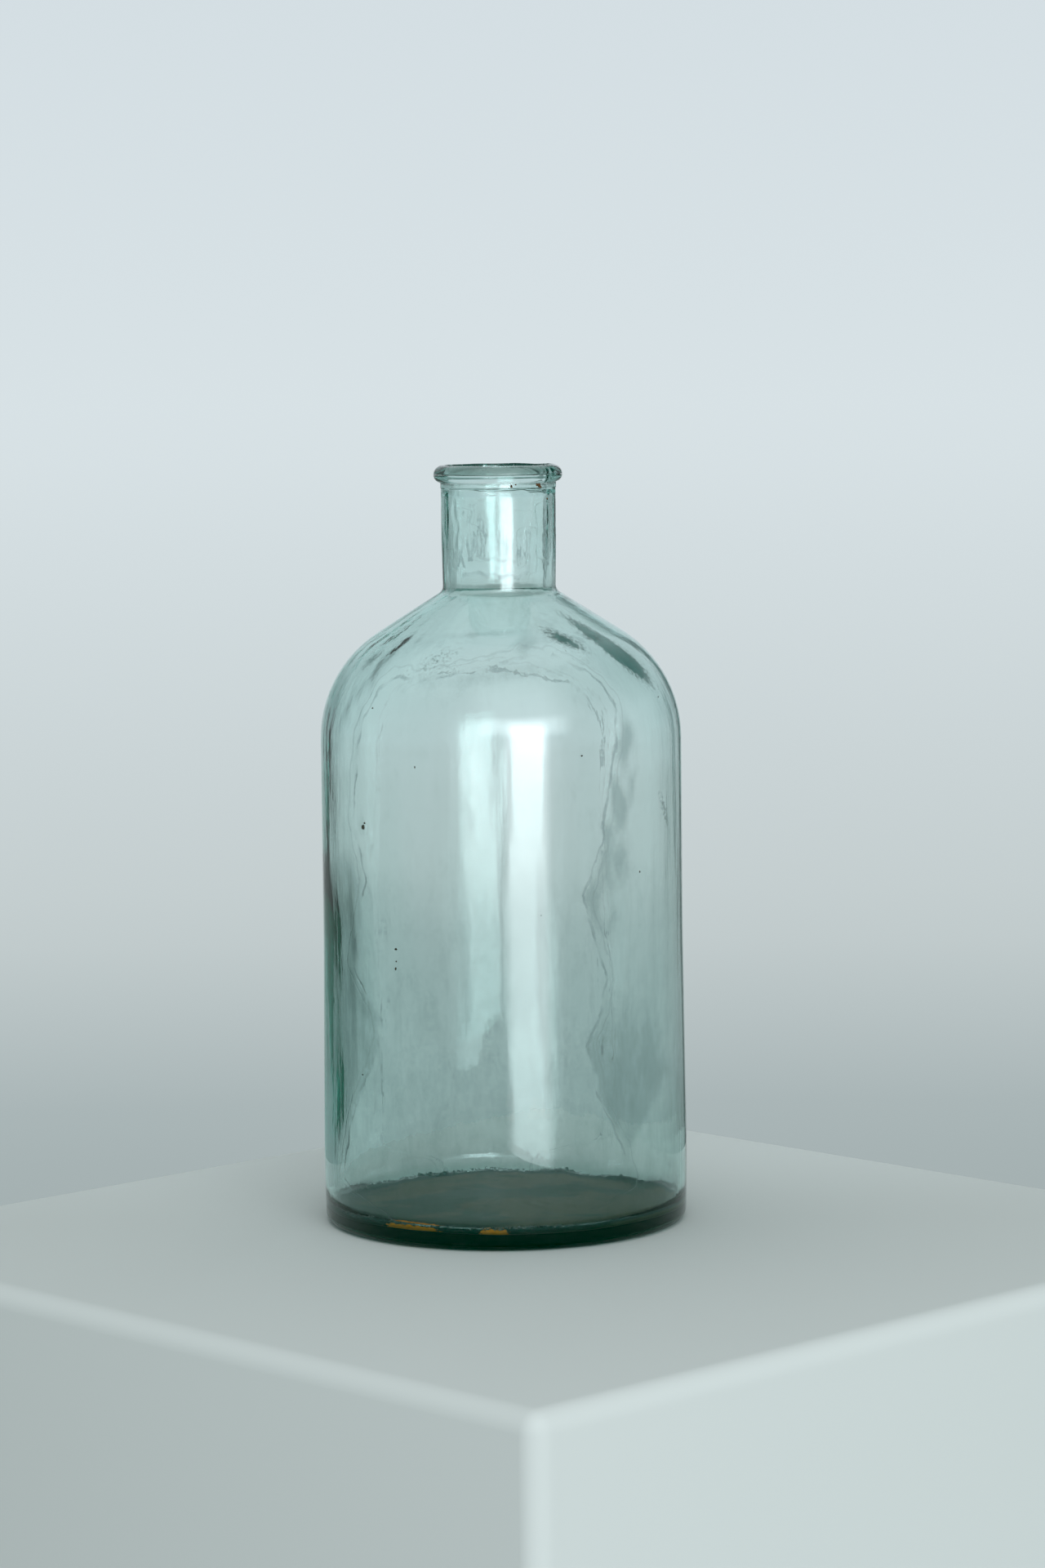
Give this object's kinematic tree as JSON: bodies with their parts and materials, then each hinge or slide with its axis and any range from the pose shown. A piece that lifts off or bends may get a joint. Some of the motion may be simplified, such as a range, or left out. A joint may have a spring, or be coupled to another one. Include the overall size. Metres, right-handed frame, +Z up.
{
  "type": "glass carboy",
  "caption": "Ten-litre blown glass carboy: straight round body, sloping shoulder, short wide neck with a rounded lip, open mouth and flat standing ring.",
  "frame": {"origin": "centre of the circle that the carboy stands on, at the height of that surface", "axes": "+Z up along the axis of the body and neck, out of the mouth; the vessel is round, so X and Y are arbitrary"},
  "size_m": [0.212, 0.212, 0.439],
  "materials": {
    "aqua_glass": "fire-polished, wavy, aqua green",
    "dried_residue": "thin matt mineral and wine deposit on the glass"
  },
  "bodies": {
    "root": {"glass_vessel": "aqua_glass"}
  },
  "joints": []
}
